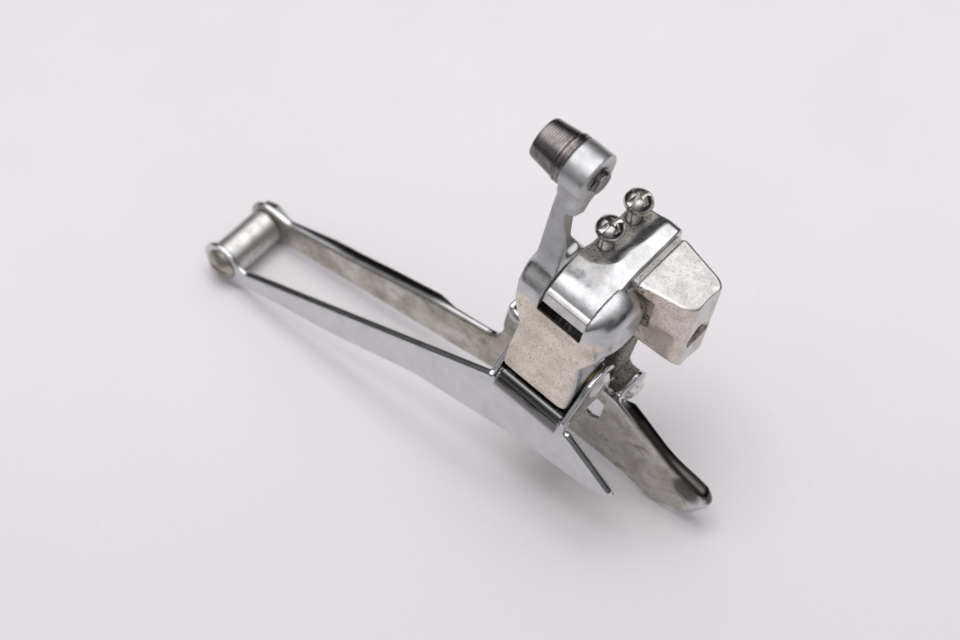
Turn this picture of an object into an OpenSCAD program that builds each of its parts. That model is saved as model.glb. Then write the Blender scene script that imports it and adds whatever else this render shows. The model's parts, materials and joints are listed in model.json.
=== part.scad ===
// Front derailleur for a bicycle, braze-on pattern, with a four-pivot parallelogram.
// Origin: mouth of the frame-bolt hole. +X away from the frame, +Y forward, +Z up.
// Shapes are drawn about the upper outer pivot and moved to the origin by on_hinge().

/* [Frame mount] */
// Frame-bolt hole to upper outer pivot, away from the frame
mount_to_pivot_x = 12; // [11:0.5:13]
// Frame-bolt hole's mouth to the middle of the pivot barrel, rearwards
mount_to_pivot_y = 18.7; // [18.2:0.1:20.2]
// Frame-bolt hole to upper outer pivot, upwards
mount_to_pivot_z = 5.5; // [4:0.5:7]
// Diameter of the frame-bolt hole
mount_hole_d = 5; // [4.2:0.1:5.5]
// Depth of the frame-bolt hole
mount_hole_depth = 9; // [7:0.5:11]
// Height of the mounting block above the upper outer pivot
block_top = 8; // [7:0.5:9]

/* [Parallelogram] */
// Sideways offset of each link's lower pivot from its upper pivot, at rest
link_dx = 2.0; // [1:0.1:3]
// Drop of each link's lower pivot below its upper pivot, at rest
link_dz = 20; // [19.5:0.5:21]
// Upper inner pivot, inwards of the upper outer pivot
inner_pivot_dx = 9.6; // [9.4:0.1:10]
// Upper inner pivot, below the upper outer pivot
inner_pivot_dz = 10; // [9.5:0.5:10.5]
// Width of the pivot barrel along its pin
barrel_w = 10.4; // [10:0.1:10.8]
// Radius of the pivot barrel
barrel_r = 7; // [6.6:0.1:7.2]
// Diameter of the hinge pins
pin_d = 4; // [3.6:0.1:4.2]
// Radial running clearance of the pins
run_gap = 0.05; // [0.02:0.01:0.08]

/* [Outer link] */
// Half width of the link's lower end
link_half_w = 7.6; // [7.4:0.1:7.8]
// Thickness of the ears on each side of the barrel
ear_t = 5.35; // [5:0.05:5.6]
// Height of the cable-clamp boss above the upper outer pivot
arm_h = 33; // [30:1:35]
// Diameter of the cable-clamp boss
boss_d = 10.4; // [10:0.2:11]

/* [Cage] */
// Gap between the cage plates, where the chain runs
cage_gap = 13; // [12.5:0.25:13.5]
// Thickness of the cage plates
sheet_t = 1.2; // [1:0.1:1.4]
// Outer plate's outer face, away from the upper outer pivot
plate_x = 12.7; // [12.5:0.1:13]
// Diameter of the tail spacer
spacer_d = 8; // [7:0.5:9]

/* [Fasteners] */
// Diameter of the limit screws
limit_d = 3; // [2.8:0.1:3.2]
// Diameter of the limit screws' heads
limit_head_d = 5.6; // [5:0.2:6]
// Distance between the two limit screws
limit_pitch = 8.3; // [8:0.1:8.6]
// Diameter of the cable-clamp bolt
clamp_d = 5; // [4.8:0.1:5.2]

/* [Hidden] */
$fn = 64;
e = 0.01;             // small overlap that joins touching solids
fit = 0.005;          // radial gap of a pressed or riveted part
side_gap = 0.05;      // end gap between a link and its neighbour
body_half = barrel_w / 2;
ear_y0 = body_half + side_gap;
ear_y1 = ear_y0 + ear_t;
pin_r = pin_d / 2;
lower_outer = [link_dx, -link_dz];
upper_inner = [-inner_pivot_dx, -inner_pivot_dz];
lower_inner = upper_inner + lower_outer;

// Outer link: its flat face leans outwards as it goes down
face_top = [barrel_r + 0.7, 0.4];
face_bottom = [plate_x - 2.7, -22.4];
wall_t = 2.2;
waist_half_w = 7.2;   // half width of the link just below the ears
slot_bottom = -0.6;   // lower edge of the window round the barrel
boss_at = [-2.3, arm_h];
boss_r = boss_d / 2;
arm_web_y = -7.4;     // front face of the arm's web
washer_t = 1.8;
cone_len = 5.6;
cone_r = 4.9;
cone_tip_r = 4.2;
stub_len = 1.3;       // bolt thread showing in front of the boss
cable_groove_r = 0.8;

// Body casting
ridge_top = 8.2;
body_far = -20.5;     // frame-side end of the ridge
block_y0 = 6.8;
saddle_depth = 0.8;   // hollow that seats on the round frame tab
saddle_r = 13.9;
block_y1 = mount_to_pivot_y + saddle_depth;
block_bottom = -15;
bush_t = 0.9;
trough_r = 7;
trough_end_r = 7.3;
trough_at = [-6.2, -3.5, 13.6];
trough_turn = 5;      // the trough widens a little towards the frame
screw_y = -3;
screw_x = -8.1;
screw_head_z = 11.6;
screw_head_h = 2.2;
screw_len = 14;
lug_y = [4.2, 6.4];
lug_r = 4.4;

// Cage
outer_face = plate_x;
outer_back = plate_x - sheet_t;
inner_face = outer_back - cage_gap;
inner_back = inner_face - sheet_t;
bridge_z = -24;       // top of the bridge between the plates
ear_sheet_y = 8.05;   // cage ears start here, outside the link's walls
tail = [-79, -67.3];
eye_r = 5.2;
bead_r = 0.8;
flange_w = 2.4;
hook_front_y = 11;
hook_rear_y = -16.8;
hook_r = 3.8;
rivet_x = 2.4;
rivet_y = [-4, 4];    // under the link, so the rivets' tops are flush
rivet_r = 1.2;
rivet_head_r = 2.2;
rivet_head_h = 0.6;
countersink = 0.8;
bridge_x0 = -3.6;      // inner edge of the bridge

// ---- helpers ----

module on_hinge() {
    translate([mount_to_pivot_x, -mount_to_pivot_y, mount_to_pivot_z]) children();
}

// Extrudes a side view (X, Z) from y0 to y1
module side(y0, y1) {
    translate([0, y1, 0]) rotate([90, 0, 0]) linear_extrude(y1 - y0) children();
}

// Extrudes a front view (Y, Z) from x0 to x1
module face(x0, x1) {
    translate([x0, 0, 0]) rotate([90, 0, 90]) linear_extrude(x1 - x0) children();
}

// A round bar along Y about a pivot, from y0 to y1
module bar(at, r, y0, y1) {
    translate([at[0], y0, at[1]]) rotate([-90, 0, 0]) cylinder(r = r, h = y1 - y0);
}

function unit(v) = v / norm(v);

// The arc that rounds corner q between p and s
function corner(p, q, s, r, steps = 5) =
    let (
        u = unit(p - q),
        v = unit(s - q),
        half = acos(u * v) / 2,
        centre = q + unit(u + v) * r / sin(half),
        from = q + u * r / tan(half) - centre,
        to = q + v * r / tan(half) - centre,
        a0 = atan2(from[1], from[0]),
        turn = (atan2(to[1], to[0]) - a0 + 540) % 360 - 180
    )
    [for (k = [0:steps]) centre + r * [cos(a0 + turn * k / steps), sin(a0 + turn * k / steps)]];

// Rounds every point [x, y, radius] of an outline
function rounded(points) =
    let (n = len(points), xy = [for (p = points) [p[0], p[1]]])
    [for (i = [0:n - 1])
        each points[i][2] == 0 ? [xy[i]] : corner(xy[(i + n - 1) % n], xy[i], xy[(i + 1) % n], points[i][2])];

module outline(points) {
    polygon(rounded(points));
}

// ---- body ----

module body_side() {
    // barrel with a stop shoulder below its outer side
    difference() {
        circle(barrel_r);
        difference() {
            translate([0, -barrel_r]) square([barrel_r + 1, barrel_r + 1.2]);
            circle(barrel_r - 2.2);
        }
        translate([barrel_r - 0.5, -barrel_r]) square([1, 2 * barrel_r]);
    }
    // ridge that runs from the barrel towards the frame
    outline([
        [1.5, 4.5, 0], [-4.6, ridge_top, 4], [body_far, ridge_top + 0.4, 3],
        [body_far - 0.4, 1.5, 2.5], [-15.5, -1.5, 2], [-6.5, -1.5, 0], [-3, -5.8, 0]
    ]);
}

module block_plan() {
    outline([
        [-4.7, block_y0, 0], [-7.6, block_y1, 3.2], [-16.2, block_y1, 3.5],
        [-19.4, block_y0 - 2, 0], [-9, block_y0 - 2, 0], [-7.6, block_y0 - 0.6, 0]
    ]);
}

module block_front() {
    outline([
        [-3, block_top, 0], [-21, block_top, 1.5], [-21, -3, 4], [-16.8, block_bottom, 4],
        [-9, block_bottom, 4.5], [-3.8, -9, 3]
    ]);
}

module mounting_block() {
    intersection() {
        translate([0, 0, -30]) linear_extrude(60) block_plan();
        side(0, block_y1 + 1) block_front();
    }
}

module trough() {
    translate(trough_at) {
        sphere(trough_end_r);
        rotate([0, -90, -trough_turn]) cylinder(r = trough_r, h = 20);
    }
}

module body_lug(y0, y1) {
    side(y0, y1) {
        translate(upper_inner) circle(lug_r);
        translate([upper_inner[0] - lug_r, upper_inner[1]]) square([2 * lug_r - 2.2, -upper_inner[1]]);
    }
}

module body_casting() color("gainsboro") on_hinge() {
    difference() {
        union() {
            side(-body_half, body_half + 0.4) intersection() {
                body_side();
                translate([-30, -10]) square([60, 30]);
            }
            side(body_half, block_y0) translate([body_far, 0]) square([12.9, ridge_top - 1.3]);
            mounting_block();
            body_lug(-lug_y[1], -lug_y[0]);
            body_lug(lug_y[0], block_y0 + e);
        }
        trough();
        // front ear's room beside the block
        bar([0, 0], barrel_r + 0.45, body_half, ear_y1 + 0.5);
        bar([0, 0], pin_r + bush_t, -20, 20);
        bar(upper_inner, pin_r + fit, -20, block_y0 + 2);
        translate([-mount_to_pivot_x, mount_to_pivot_y + saddle_r, -30]) cylinder(r = saddle_r, h = 60);
        bar([-mount_to_pivot_x, -mount_to_pivot_z], mount_hole_d / 2,
            mount_to_pivot_y - mount_hole_depth, block_y1 + 1);
        limit_holes();
    }
}

module limit_holes() {
    for (x = [screw_x, screw_x - limit_pitch])
        translate([x, screw_y, -10]) cylinder(r = limit_d / 2 + 0.05, h = 25);
}

module upper_outer_bush() color("peru") on_hinge() {
    difference() {
        bar([0, 0], pin_r + bush_t - fit, -body_half, body_half);
        bar([0, 0], pin_r + run_gap, -20, 20);
    }
}

module upper_inner_pin() color("dimgray") on_hinge() {
    difference() {
        bar(upper_inner, pin_r, -lug_y[1] - 1.3, block_y0 + 1.8);
        // clip groove
        difference() {
            bar(upper_inner, pin_r + 1, -lug_y[1] - 0.7, -lug_y[1] - 0.1);
            bar(upper_inner, pin_r - 0.4, -20, 20);
        }
    }
}

module upper_inner_clip() color("gray") on_hinge() {
    difference() {
        bar(upper_inner, pin_r + 1.4, -lug_y[1] - 0.65, -lug_y[1] - 0.15);
        bar(upper_inner, pin_r - 0.35, -20, 20);
        // open mouth of the clip
        translate([upper_inner[0] - 1.4, -10, upper_inner[1] - 6]) cube([2.8, 10, 6]);
    }
}

// Domed head with a slot and a cross, on a shank
module limit_screw(x) {
    translate([x, screw_y, screw_head_z]) {
        difference() {
            rotate_extrude() intersection() {
                translate([0, -screw_len]) square([limit_head_d, screw_len + screw_head_h]);
                union() {
                    translate([0, 0.4]) scale([1, 0.65]) circle(limit_head_d / 2);
                    translate([0, -0.01]) square([limit_head_d / 2, 0.42]);
                }
                square([limit_head_d, 10]);
            }
            rotate(164) translate([-5, -0.4, screw_head_h - 1]) cube([10, 0.8, 3]);
            rotate(74) translate([-1.7, -0.4, screw_head_h - 1.4]) cube([3.4, 0.8, 3]);
        }
        translate([0, 0, -screw_len]) cylinder(r = limit_d / 2, h = screw_len + 0.05);
    }
}

module high_limit_screw() color("slategray") on_hinge() limit_screw(screw_x);
module low_limit_screw() color("slategray") on_hinge() limit_screw(screw_x - limit_pitch);

// ---- outer link ----

module link_side() {
    // ear round the barrel's axis
    circle(barrel_r);
    outline([
        [3, barrel_r - 1, 0], [face_top[0], 4.5, 3.5], [face_top[0], face_top[1], 0],
        [face_bottom[0], face_bottom[1], 1], [lower_outer[0], lower_outer[1] - 3.8, 0],
        [-1.2, -13, 5], [-4.5, -5, 0]
    ]);
    translate(lower_outer) circle(3.8);
}

module link_front() {
    outline([
        [-ear_y1, 12, 0], [-ear_y1, -2.5, 2], [-waist_half_w, -8.5, 4], [-link_half_w, -14, 4],
        [-link_half_w, -24.5, 0], [link_half_w, -24.5, 0], [link_half_w, -14, 4],
        [waist_half_w, -8.5, 4], [ear_y1, -4, 3], [ear_y1, 12, 0]
    ]);
}

// Domed front end of the front ear
module ear_dome() {
    translate([0, ear_y0 + e, 0]) rotate([-90, 0, 0]) rotate_extrude() intersection() {
        scale([1, 0.76]) circle(barrel_r);
        square(barrel_r);
    }
}

module arm_side() {
    outline([
        [6.6, 2, 0], [3.6, 8.5, 4], [boss_at[0] + boss_r - 0.3, boss_at[1] - 3, 0],
        [boss_at[0] - boss_r + 0.6, boss_at[1] - 2, 0], [-1.2, arm_h - 10, 4], [-2.4, 12, 5], [-6, 3, 0]
    ]);
}

module outer_link() color("silver") on_hinge() {
    difference() {
        union() {
            intersection() {
                side(-20, ear_y0 + 2.4) link_side();
                face(-30, 30) link_front();
            }
            intersection() {
                side(ear_y0, ear_y1) link_side();
                union() {
                    ear_dome();
                    translate([-15, 0, -40]) cube([30, ear_y1, 40 - 5]);
                }
                face(-30, 30) link_front();
            }
            side(-ear_y1, -ear_y0) {
                arm_side();
                translate(boss_at) circle(boss_r);
            }
        }
        // room for the barrel
        side(-ear_y0, ear_y0) {
            circle(barrel_r + 0.3);
            translate([-40, slot_bottom]) square([80, 40]);
            // hollow behind the flat face
            polygon([
                [-40, 10], [face_top[0] - wall_t, 10], [face_top[0] - wall_t, face_top[1]],
                [face_bottom[0] - wall_t, face_bottom[1]], [face_bottom[0] - wall_t, -40], [-40, -40]
            ]);
        }
        bar([0, 0], pin_r + fit, -20, ear_y0 + 3);
        bar(lower_outer, pin_r + run_gap, -20, 20);
        bar(boss_at, clamp_d / 2 + run_gap, -20, 0);
        // hollow front of the arm, which also clears the near limit screw's head
        side(arm_web_y, 0) outline([
            [-6, 9.5, 0], [1.6, 9.5, 1.5], [2.6, 18, 0], [2.4, arm_h - 8, 2], [-6, arm_h - 6, 0]
        ]);
        // groove that guides the cable across the boss
        translate([boss_at[0] + 3.6, -ear_y1, boss_at[1]]) cylinder(r = cable_groove_r, h = 20, center = true);
    }
}

module upper_outer_pin() color("dimgray") on_hinge() {
    bar([0, 0], pin_r, -ear_y1 - 0.2, ear_y0 + 2.9);
}

module cable_clamp_washer() color("lightslategray") on_hinge() {
    difference() {
        bar(boss_at, boss_r, -ear_y1 - washer_t, -ear_y1 - 0.02);
        bar(boss_at, clamp_d / 2 + 0.1, -20, 0);
    }
}

module cable_clamp_bolt() color("darkslategray") on_hinge() {
    head_y = -ear_y1 - washer_t - 0.02;
    difference() {
        union() {
            bar(boss_at, clamp_d / 2, head_y - 0.5, -ear_y0 + stub_len);
            translate([boss_at[0], head_y, boss_at[1]]) rotate([90, 0, 0])
                cylinder(r1 = cone_r, r2 = cone_tip_r, h = cone_len);
        }
        // hexagon socket for the key
        translate([boss_at[0], head_y - cone_len + 3, boss_at[1]]) rotate([90, 0, 0])
            cylinder(r = 2.5 / cos(30), h = 10, $fn = 6);
    }
}

// ---- inner link ----

module inner_link_side() {
    translate(upper_inner) {
        circle(lug_r - 0.3);
        // shoulders that meet the limit screws
        outline([
            [-7.4, 5.0, 0.8], [-4.6, 5.0, 0.8], [-3.6, 2.5, 1], [3.2, 2.5, 0], [3.9, 0, 0],
            [3, -3, 0], [-3, -3, 0], [-4.2, 0, 2], [-7.4, 2.4, 0.8]
        ]);
        polygon([[-3.2, -2], [3.2, -2], lower_outer + [2.6, 1.5], lower_outer + [-2.6, 1.5]]);
    }
    translate(lower_inner) circle(3.6);
}

module inner_link() color("darkgray") on_hinge() {
    difference() {
        union() {
            side(-lug_y[0] + 0.15, lug_y[0] - 0.15) inner_link_side();
            // wider foot below the mounting block
            intersection() {
                side(-lug_y[0] + 0.15, 8.2) inner_link_side();
                translate([-30, -10, -60]) cube([60, 40, 60 - 18]);
            }
            bar(lower_inner, 3.4, 0, hook_front_y - 0.1);
        }
        bar(upper_inner, pin_r + bush_t, -20, 20);
        bar(lower_inner, pin_r + bush_t, -20, 20);
    }
}

module upper_inner_bush() color("peru") on_hinge() {
    difference() {
        bar(upper_inner, pin_r + bush_t - fit, -lug_y[0] + 0.15, lug_y[0] - 0.15);
        bar(upper_inner, pin_r + run_gap, -20, 20);
    }
}

module lower_inner_bush() color("peru") on_hinge() {
    difference() {
        bar(lower_inner, pin_r + bush_t - fit, -4, hook_front_y - 0.1);
        bar(lower_inner, pin_r + run_gap, -20, 20);
    }
}

// ---- cage ----

module outer_plate_front() {
    difference() {
        union() {
            translate(tail) circle(eye_r);
            outline([
                [tail[0] - 1, tail[1] - eye_r + 0.2, 0], [-46, -57.8, 20], [-27, -47.8, 30], [1, -39.4, 30],
                [16, -37.2, 6], [24.6, -33.6, 1], [22.6, -32.4, 0.8], [9.6, -24.4, 0.6],
                [9.6, bridge_z, 0], [-7.6, bridge_z, 0], [-73.5, -65.2, 3]
            ]);
        }
        translate(tail) circle(2.05);
    }
}

// Rounded bead along the top edge between two points of the front view
module bead(from, to) {
    d = to - from;
    translate([outer_face - 0.2, from[0], from[1]])
        rotate([atan2(d[1], d[0]) - 90, 0, 0]) cylinder(r = bead_r, h = norm(d));
}

module cage_ear(y0, y1) {
    side(y0, y1) difference() {
        union() {
            translate(lower_outer) circle(4.6);
            outline([
                [outer_back - 0.5, bridge_z - sheet_t, 0], [outer_back - 0.5, bridge_z + 0.6, 0.5],
                [lower_outer[0] + 3.2, lower_outer[1] + 3.2, 0], [lower_outer[0] - 3.5, lower_outer[1] + 2.5, 0],
                [lower_outer[0] - 4.6, lower_outer[1] - 1, 0], [lower_outer[0] - 4, bridge_z - sheet_t, 0]
            ]);
        }
        translate(lower_outer) circle(pin_r + fit);
    }
}

// A rivet without its lower head: its shank opens into a countersunk head, flush with the bridge.
// gap is added all round and spare past both ends.
module rivet_shank(gap, spare) {
    tabs_z = bridge_z - 2 * sheet_t;
    translate([0, 0, tabs_z - spare]) cylinder(r = rivet_r + gap, h = 2 * sheet_t + 2 * spare);
    translate([0, 0, bridge_z - countersink]) cylinder(r1 = rivet_r + gap, r2 = rivet_head_r + gap, h = countersink);
}

module cage_outer_plate() color("lightsteelblue") on_hinge() {
    face(outer_back, outer_face) outer_plate_front();
    bead([-71.5, -63.8], [-9, -24.8]);
    bead([10.4, -24.8], [22.6, -32.6]);
    // bridge over the chain, countersunk for its rivets, and its ears
    difference() {
        translate([bridge_x0, -ear_sheet_y - sheet_t, bridge_z - sheet_t])
            cube([outer_back - bridge_x0 + e, 2 * (ear_sheet_y + sheet_t), sheet_t]);
        for (y = rivet_y)
            translate([rivet_x, y, 0]) rivet_shank(fit, 1);
    }
    cage_ear(ear_sheet_y, ear_sheet_y + sheet_t);
    cage_ear(-ear_sheet_y - sheet_t, -ear_sheet_y);
}

module inner_plate_front() {
    difference() {
        union() {
            translate(tail) circle(eye_r);
            outline([
                [tail[0] - 1, tail[1] - eye_r + 0.1, 0], [-54, -63.4, 20], [-14, -51.2, 30], [10, -51, 10],
                [26, -53.2, 8], [34.5, -48.5, 6], [38.4, -40, 2.5], [37.4, -37.6, 1.5],
                [28, -35, 20], [12.4, bridge_z - 2 * sheet_t, 1], [-15.8, bridge_z - 2 * sheet_t, 1.5],
                [-17, -39.6, 4], [-34, -45.2, 25], [-56, -54.8, 25], [tail[0] + 2, tail[1] + eye_r - 1, 2]
            ]);
        }
        translate(tail) circle(2.05);
        // window below the front ear
        outline([[6, -38.6, 0.6], [8, -31.8, 0.6], [9.8, -32.6, 0.6], [9.6, -38.8, 0.6], [7.4, -40, 0.6]]);
    }
}

// Flange strip that follows the plate's top edge, rolled away from the chain
module flange_strip(points, drop) {
    polygon(concat(points, [for (i = [len(points) - 1:-1:0]) points[i] - [0, drop]]));
}

module hook(y0, y1) {
    side(y0, y1) difference() {
        union() {
            translate(lower_inner) circle(hook_r);
            translate([lower_inner[0], lower_inner[1] - hook_r])
                square([inner_back - lower_inner[0] + e, 2 * hook_r]);
        }
        translate(lower_inner) circle(pin_r + fit);
    }
}

module cage_inner_plate() color("lightsteelblue") on_hinge() {
    face(inner_back, inner_face) inner_plate_front();
    face(inner_back - flange_w, inner_back + e) {
        flange_strip([[-73, -62.9], [-56, -54.9], [-45, -50.1], [-34, -45.4], [-20, -41]], sheet_t);
        flange_strip([[15.5, -28.6], [28, -35.2], [34, -36.7], [37.6, -38.4]], sheet_t);
    }
    // tabs that take the bridge rivets
    difference() {
        for (y = rivet_y)
            translate([inner_back, y - 3, bridge_z - 2 * sheet_t]) cube([rivet_x + 3 - inner_back, 6, sheet_t]);
        for (y = rivet_y)
            translate([rivet_x, y, 0]) rivet_shank(fit, 1);
    }
    hook(hook_front_y, hook_front_y + sheet_t);
    hook(hook_rear_y, hook_rear_y + sheet_t);
}

module bridge_rivets() color("lightgray") on_hinge() {
    for (y = rivet_y)
        translate([rivet_x, y, 0]) {
            rivet_shank(0, 0);
            translate([0, 0, bridge_z - 2 * sheet_t - rivet_head_h - 0.02]) cylinder(r = rivet_head_r, h = rivet_head_h);
            translate([0, 0, bridge_z - 2 * sheet_t - 0.1]) cylinder(r = rivet_r, h = 0.2);
        }
}

module along_tail(x0, x1, r) {
    translate([x0, tail[0], tail[1]]) rotate([0, 90, 0]) cylinder(r = r, h = x1 - x0);
}

module tail_spacer() color("silver") on_hinge() {
    difference() {
        along_tail(inner_face + 0.02, outer_back - 0.02, spacer_d / 2);
        along_tail(inner_face - 1, outer_back + 1, 2.1);
    }
}

module tail_screw() color("darkgray") on_hinge() {
    difference() {
        union() {
            along_tail(inner_back - 2.6, outer_face + 0.5, 2);
            translate([outer_face + 0.02, tail[0], tail[1]]) rotate([0, 90, 0]) rotate_extrude() intersection() {
                scale([1, 0.5]) circle(3.9);
                square(4);
            }
        }
        translate([outer_face + 1.1, tail[0] - 5, tail[1] - 0.5]) cube([3, 10, 1]);
    }
}

module tail_nut() color("darkgray") on_hinge() {
    difference() {
        translate([inner_back - 2.2, tail[0], tail[1]]) rotate([0, 90, 0]) cylinder(r = 3.8, h = 2.18, $fn = 6);
        along_tail(inner_back - 3, inner_back + 1, 2 + fit);
    }
}

// Pin with a domed head on each end
module headed_pin(at, y0, y1, head_r) {
    bar(at, pin_r, y0 - 0.3, y1 + 0.3);
    for (s = [[y0 - 0.02, 90], [y1 + 0.02, -90]])
        translate([at[0], s[0], at[1]]) rotate([s[1], 0, 0]) cylinder(r1 = head_r, r2 = head_r - 1.1, h = 0.9);
}

module lower_outer_pin() color("dimgray") on_hinge()
    headed_pin(lower_outer, -ear_sheet_y - sheet_t, ear_sheet_y + sheet_t, 3.1);

module lower_outer_washers() color("gold") on_hinge() {
    for (y0 = [-ear_sheet_y + 0.05, link_half_w + 0.08])
        difference() {
            bar(lower_outer, 3.6, y0, y0 + 0.3);
            bar(lower_outer, pin_r + run_gap, -20, 20);
        }
}

module lower_inner_pin() color("dimgray") on_hinge()
    headed_pin(lower_inner, hook_rear_y, hook_front_y + sheet_t, 2.9);

module spring_sleeve() color("white") on_hinge() {
    difference() {
        bar(lower_inner, pin_r + 0.6, hook_rear_y + sheet_t + 0.1, -4.2);
        bar(lower_inner, pin_r + run_gap, -40, 20);
    }
}

// Torsion spring round the lower inner pin: a coil whose two ends run on as straight legs
spring_wire_r = 0.6;
spring_coil_r = 3.4;
spring_turns = 6.5;
spring_pitch = 1.45;
spring_leg = 6;
spring_steps = 20;    // sections in one turn of the coil

function spring_point(a) = [-spring_coil_r * cos(a), spring_pitch * a / 360, spring_coil_r * sin(a)];

// Ring of points round the wire, where along is the wire's direction
function wire_ring(centre, along) =
    let (u = unit(cross(along, [0, 1, 0.01])), v = unit(cross(u, along)))
    [for (k = [0:5]) centre + spring_wire_r * (u * cos(k * 60) + v * sin(k * 60))];

function spring_path() =
    let (last = spring_turns * 360, n = spring_turns * spring_steps)
    concat(
        [spring_point(0) + [0, 0, -spring_leg]],
        [for (k = [0:n]) spring_point(last * k / n)],
        [spring_point(last) + [0, 0, -spring_leg]]
    );

module return_spring() color("dimgray") on_hinge() {
    path = spring_path();
    n = len(path);
    rings = [for (i = [0:n - 1]) each wire_ring(path[i], path[min(i + 1, n - 1)] - path[max(i - 1, 0)])];
    sides = [for (i = [0:n - 2], k = [0:5]) let (a = i * 6 + k, b = i * 6 + (k + 1) % 6) [a, b, b + 6, a + 6]];
    translate([lower_inner[0], hook_rear_y + sheet_t + 1, lower_inner[1]])
        polyhedron(rings, concat([[5, 4, 3, 2, 1, 0]], sides, [[for (k = [0:5]) (n - 1) * 6 + k]]));
}

body_casting();
upper_outer_bush();
upper_inner_pin();
upper_inner_clip();
low_limit_screw();
high_limit_screw();
outer_link();
upper_outer_pin();
cable_clamp_washer();
cable_clamp_bolt();
inner_link();
upper_inner_bush();
lower_inner_bush();
cage_outer_plate();
cage_inner_plate();
bridge_rivets();
tail_spacer();
tail_screw();
tail_nut();
lower_outer_pin();
lower_outer_washers();
lower_inner_pin();
return_spring();
spring_sleeve();
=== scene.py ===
"""Looks of a front derailleur (braze-on pattern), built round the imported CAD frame.

Shapes are drawn in millimetres about the upper outer pivot: +X away from the bicycle,
+Y forward, +Z up. Castings and pressings are signed distance fields, turned into meshes
by a surface net, so that their blends and rolled edges come out smooth.
"""

import json
import math

import bpy
import numpy as np
from mathutils import Matrix, Vector

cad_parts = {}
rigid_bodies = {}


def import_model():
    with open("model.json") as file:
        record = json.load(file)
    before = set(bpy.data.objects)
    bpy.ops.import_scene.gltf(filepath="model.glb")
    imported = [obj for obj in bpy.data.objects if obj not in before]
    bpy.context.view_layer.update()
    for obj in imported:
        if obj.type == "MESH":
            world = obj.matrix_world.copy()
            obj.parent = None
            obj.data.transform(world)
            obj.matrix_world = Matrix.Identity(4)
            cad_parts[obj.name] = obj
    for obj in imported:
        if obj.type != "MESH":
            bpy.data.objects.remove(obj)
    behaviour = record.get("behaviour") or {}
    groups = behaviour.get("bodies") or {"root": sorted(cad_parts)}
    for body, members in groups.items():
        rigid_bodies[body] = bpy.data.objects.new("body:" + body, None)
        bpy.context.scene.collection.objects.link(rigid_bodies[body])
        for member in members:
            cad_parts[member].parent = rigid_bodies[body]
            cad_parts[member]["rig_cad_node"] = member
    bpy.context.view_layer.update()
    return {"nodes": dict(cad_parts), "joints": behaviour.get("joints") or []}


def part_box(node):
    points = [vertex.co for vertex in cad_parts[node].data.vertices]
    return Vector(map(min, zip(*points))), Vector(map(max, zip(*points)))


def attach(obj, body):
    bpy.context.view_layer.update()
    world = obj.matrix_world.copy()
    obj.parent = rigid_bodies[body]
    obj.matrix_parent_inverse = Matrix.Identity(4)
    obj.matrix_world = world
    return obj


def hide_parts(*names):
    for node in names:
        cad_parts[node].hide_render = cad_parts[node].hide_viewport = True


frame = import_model()

MM = 0.001
PLACES = {j["name"]: Vector(j["pos_m"]) / MM for j in frame["joints"] if "pos_m" in j}
PIVOT = PLACES["link_swing"]


def about_pivot(place):
    """A place in the row frame, in millimetres, as (x, y, z) about the upper outer pivot."""
    return tuple(place - PIVOT)


def node_box(node):
    """Lowest and highest corner of a CAD node about the upper outer pivot, in millimetres."""
    low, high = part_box(node)
    return about_pivot(low / MM), about_pivot(high / MM)


def middle(node):
    """Centre of a CAD node's box about the upper outer pivot, in millimetres."""
    return tuple((a + b) / 2 for a, b in zip(*node_box(node)))


# Pivots and holes that run along Y, as (x, z)
UPPER_OUTER = (0, 0)
LOWER_OUTER = about_pivot(PLACES["cage_pivot"])[::2]
UPPER_INNER = about_pivot(PLACES["inner_link_swing"])[::2]
LOWER_INNER = (LOWER_OUTER[0] + UPPER_INNER[0], LOWER_OUTER[1] + UPPER_INNER[1])
BOSS = about_pivot(PLACES["clamp_bolt_turn"])[::2]

# Holes that run along Z, as (x, y)
SCREW_PLACES = [middle(node)[:2] for node in ("high_limit_screw", "low_limit_screw")]
RIVET_HEAD_R = 2.2
RIVET_LOW, RIVET_HIGH = node_box("bridge_rivets")
RIVET_PLACES = [
    (middle("bridge_rivets")[0], y) for y in (RIVET_LOW[1] + RIVET_HEAD_R, RIVET_HIGH[1] - RIVET_HEAD_R)
]

# Hole that runs along X, as (y, z)
TAIL = middle("tail_spacer")[1:]


# ---- signed distance fields ----

ARC_STEPS = 6


def grid(low, high, step):
    """Sparse x, y and z arrays that cover a box, and the place to carve at: lowest corner and step."""
    step = step
    x, y, z = (np.arange(a, b + step, step, dtype=np.float32) for a, b in zip(low, high))
    return x[:, None, None], y[None, :, None], z[None, None, :], (low, step)


def grid_round(node, margin, step):
    """Grid over a CAD node's box, with a margin on every side."""
    low, high = node_box(node)
    return grid([a - margin for a in low], [b + margin for b in high], step)


def disc(u, v, centre, radius):
    """Distance to a round bar seen end on."""
    return np.hypot(u - centre[0], v - centre[1]) - radius


def slab(w, low, high):
    """Distance to the space between two planes."""
    return np.maximum(low - w, w - high)


def ball(x, y, z, centre, radius):
    return np.sqrt((x - centre[0]) ** 2 + (y - centre[1]) ** 2 + (z - centre[2]) ** 2) - radius


def capsule(x, y, z, a, b, radius):
    """Distance to a round bar with round ends, from a to b."""
    a, b = np.array(a, float), np.array(b, float)
    d = b - a
    t = ((x - a[0]) * d[0] + (y - a[1]) * d[1] + (z - a[2]) * d[2]) / (d @ d)
    t = np.clip(t, 0, 1)
    return ball(x, y, z, [a[k] + t * d[k] for k in range(3)], radius)


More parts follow.
